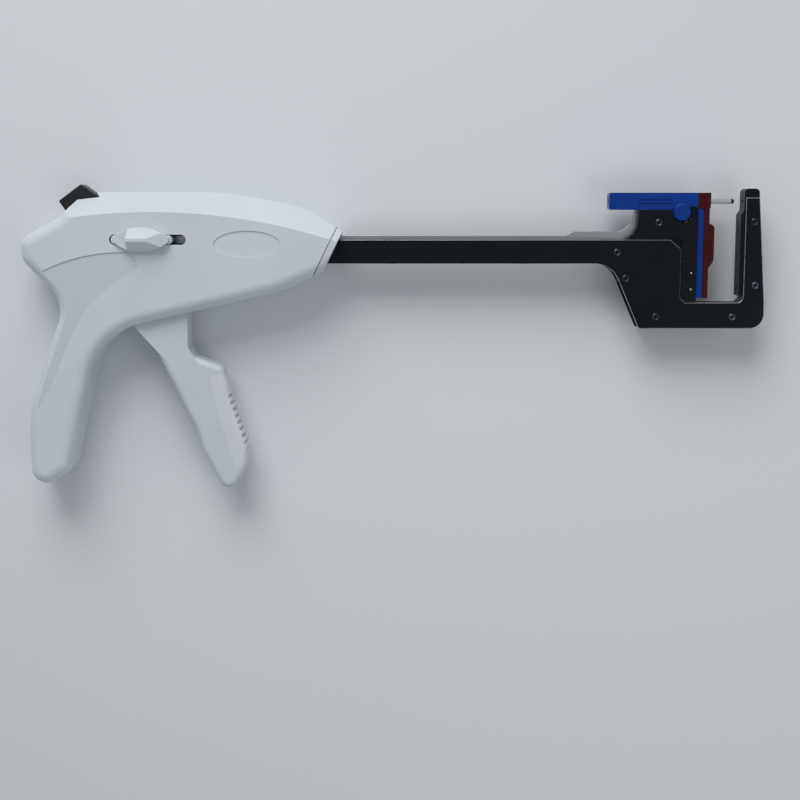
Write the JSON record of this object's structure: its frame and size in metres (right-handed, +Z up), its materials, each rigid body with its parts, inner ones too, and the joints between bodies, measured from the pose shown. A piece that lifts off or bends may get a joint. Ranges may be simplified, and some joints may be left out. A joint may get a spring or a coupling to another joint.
{
  "type": "linear surgical stapler",
  "caption": "Linear surgical stapler: pistol handle, squeeze trigger, long flat shaft and C-shaped jaw that closes a capped staple cartridge on an anvil.",
  "frame": {"origin": "foot of the trigger pivot axis on the flat side of the left handle shell, which rests on the table", "axes": "+X from the handle to the jaw, +Y from the grip to the top of the handle, +Z up from the table"},
  "size_m": [0.368, 0.152, 0.0372],
  "materials": {
    "white_plastic": "satin moulded",
    "black_steel": "satin black",
    "rivet_steel": "dark steel",
    "bright_steel": "satin steel",
    "spring_steel": "drawn wire",
    "blue_plastic": "semi-gloss moulded",
    "red_plastic": "glossy",
    "black_plastic": "matt moulded"
  },
  "bodies": {
    "handle": {"right_handle_shell": "white_plastic", "left_handle_shell": "white_plastic", "nose_collar": "white_plastic", "right_frame_plate": "black_steel", "left_frame_plate": "black_steel", "jaw_core": "black_steel", "frame_rivets": "rivet_steel", "frame_spacer": "black_steel", "frame_anchor_studs": "bright_steel", "anvil": "black_steel", "trigger_pivot_pin": "bright_steel", "trigger_return_spring": "spring_steel", "latch_pin": "bright_steel", "release_button_spring": "spring_steel"},
    "trigger": {"trigger_lever": "white_plastic", "trigger_finger_pad": "white_plastic", "drive_arm": "bright_steel"},
    "carriage": {"closing_bar": "bright_steel", "drive_pin": "bright_steel", "carriage": "black_steel", "carriage_rivet": "rivet_steel", "cartridge_locator_pins": "rivet_steel", "cartridge_body": "blue_plastic", "staple_cap": "red_plastic"},
    "firing": {"firing_bar": "bright_steel", "staple_driver": "blue_plastic", "staples": "spring_steel"},
    "pin_slide": {"pin_push_bar": "bright_steel", "retaining_pin": "bright_steel", "pin_slider_knob": "white_plastic"},
    "button": {"release_button": "black_plastic"},
    "latch": {"latch_pawl": "bright_steel"}
  },
  "joints": [
    {"name": "trigger_squeeze", "type": "hinge", "parent": "handle", "child": "trigger", "pos_m": [0, 0, 0.015], "axis": [0, 0, -1], "range_deg": [0, 29.04], "stiffness_Nm_per_rad": 0.6, "springref_deg": -17.19, "deforming": ["trigger_return_spring"]},
    {"name": "carriage_close", "type": "slide", "parent": "handle", "child": "carriage", "axis": [1, 0, 0], "range_m": [0, 0.0115]},
    {"name": "firing_slide", "type": "slide", "parent": "carriage", "child": "firing", "axis": [1, 0, 0], "range_m": [0, 0.0025]},
    {"name": "pin_advance", "type": "slide", "parent": "handle", "child": "pin_slide", "axis": [1, 0, 0], "range_m": [0, 0.0065]},
    {"name": "button_press", "type": "slide", "parent": "handle", "child": "button", "axis": [0.5678, -0.8231, 0], "range_m": [0, 0.003], "stiffness_N_per_m": 400, "springref_m": -0.004, "deforming": ["release_button_spring"]},
    {"name": "latch_tilt", "type": "hinge", "parent": "handle", "child": "latch", "pos_m": [-0.024, 0.0295, 0.015], "axis": [0, 0, 1], "range_deg": [0, 9.5]}
  ],
  "couplings": [
    {"joint": "carriage_close", "follows": "trigger_squeeze", "m_per_rad": 0.022687},
    {"joint": "latch_tilt", "follows": "button_press", "rad_per_m": 55.26}
  ]
}
